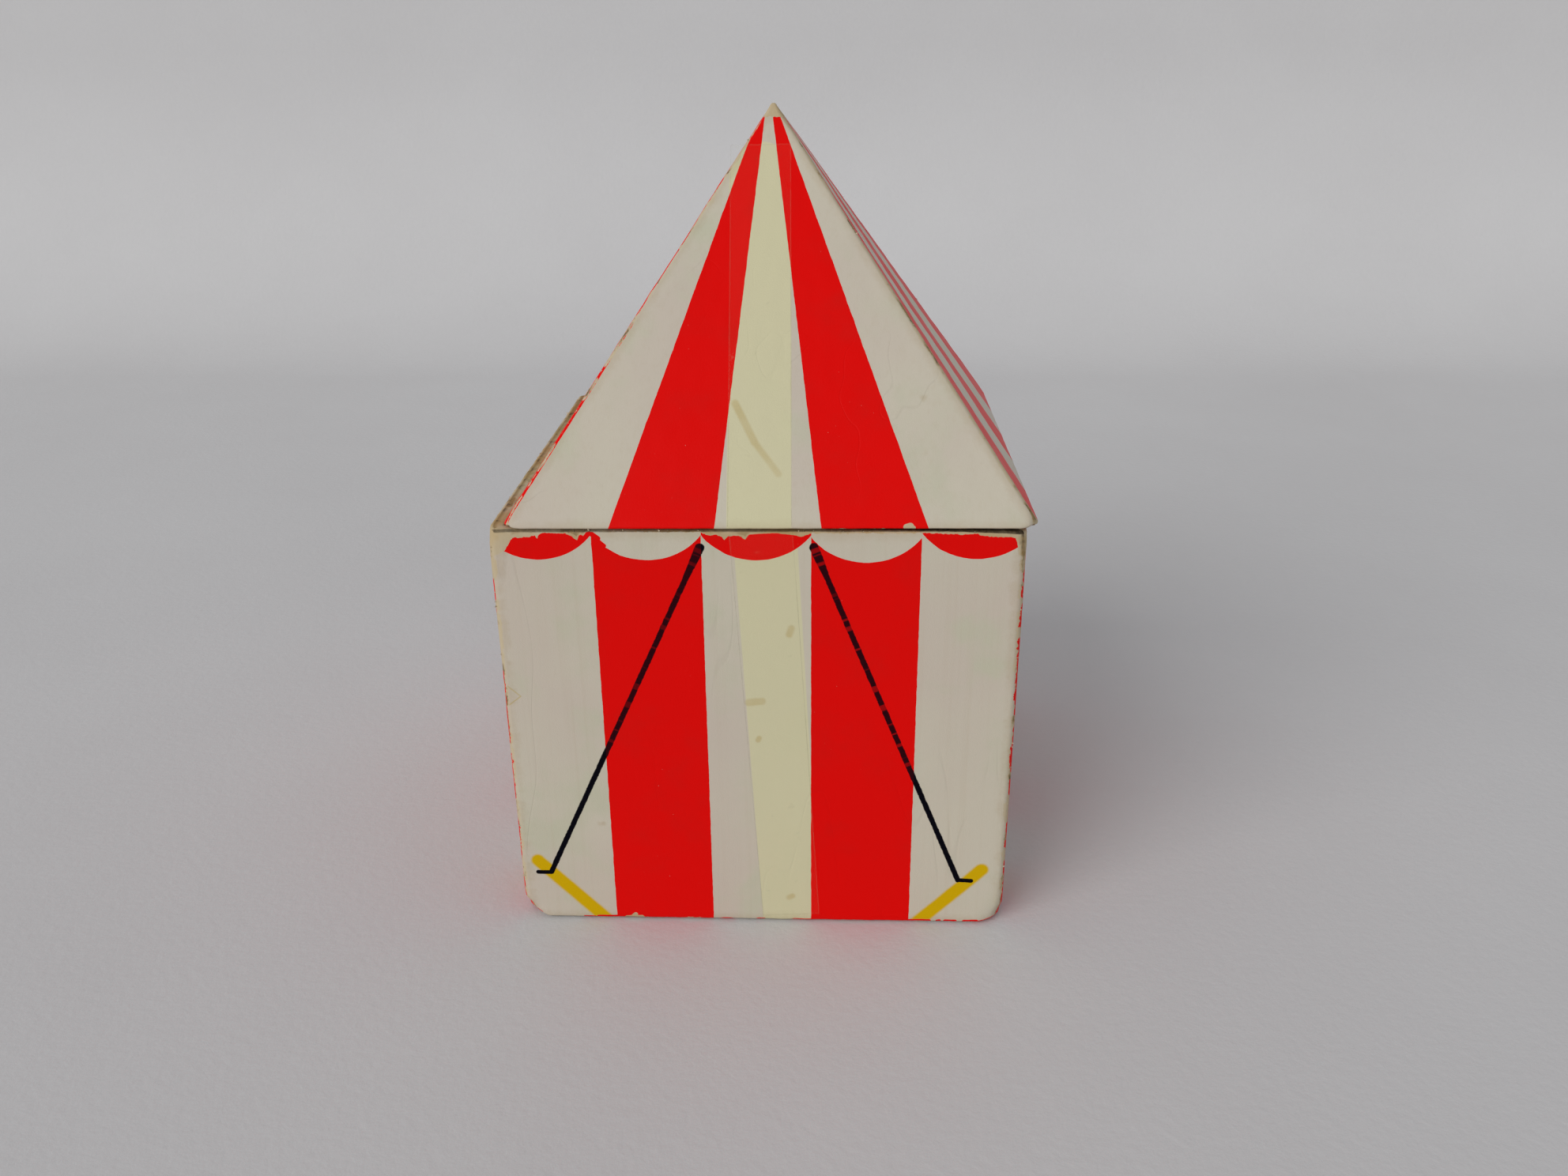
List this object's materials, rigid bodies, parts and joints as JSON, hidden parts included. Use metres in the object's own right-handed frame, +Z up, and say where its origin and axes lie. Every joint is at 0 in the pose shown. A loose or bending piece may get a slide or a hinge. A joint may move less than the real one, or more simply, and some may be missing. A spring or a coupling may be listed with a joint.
{
  "type": "tent-shaped gift box",
  "caption": "Square box of paper-covered chipboard made up as a striped circus tent, with a pyramid lid that lifts off and a collar that drops inside the rim.",
  "frame": {"origin": "centre of the underside that the box stands on", "axes": "+Z up, the way the lid lifts; the front, with the two strips of tape, faces -Y; +X is to the right seen from the front"},
  "size_m": [0.1549, 0.1529, 0.2419],
  "materials": {
    "printed_paper": "printed, lightly varnished, yellowed and rubbed at the edges",
    "printed_roof_paper": "printed, lightly varnished, yellowed and rubbed at the edges",
    "base_paper": "plain uncoated paper, scuffed",
    "chipboard": "raw grey-brown board",
    "stay_paper": "brown gummed paper",
    "lining_paper": "plain white uncoated paper",
    "cellulose_tape": "clear film, yellowed, with dried glue"
  },
  "bodies": {
    "box": {"floor_board": "chipboard", "front_wall_board": "chipboard", "back_wall_board": "chipboard", "left_wall_board": "chipboard", "right_wall_board": "chipboard", "corner_stay_front_left": "stay_paper", "corner_stay_front_right": "stay_paper", "corner_stay_back_left": "stay_paper", "corner_stay_back_right": "stay_paper", "body_wrap": "printed_paper", "base_sheet": "base_paper", "wall_liner": "lining_paper", "floor_liner": "lining_paper", "body_tape": "cellulose_tape"},
    "lid": {"front_roof_board": "chipboard", "right_roof_board": "chipboard", "back_roof_board": "chipboard", "left_roof_board": "chipboard", "hip_stay_front_left": "stay_paper", "hip_stay_front_right": "stay_paper", "hip_stay_back_left": "stay_paper", "hip_stay_back_right": "stay_paper", "roof_wrap": "printed_roof_paper", "roof_liner": "lining_paper", "front_collar_strip": "chipboard", "right_collar_strip": "chipboard", "back_collar_strip": "chipboard", "left_collar_strip": "chipboard", "collar_wrap": "lining_paper", "roof_tape": "cellulose_tape"}
  },
  "joints": [
    {"name": "lid_lift", "type": "slide", "parent": "box", "child": "lid", "axis": [0, 0, 1], "range_m": [0, 0.15]}
  ]
}
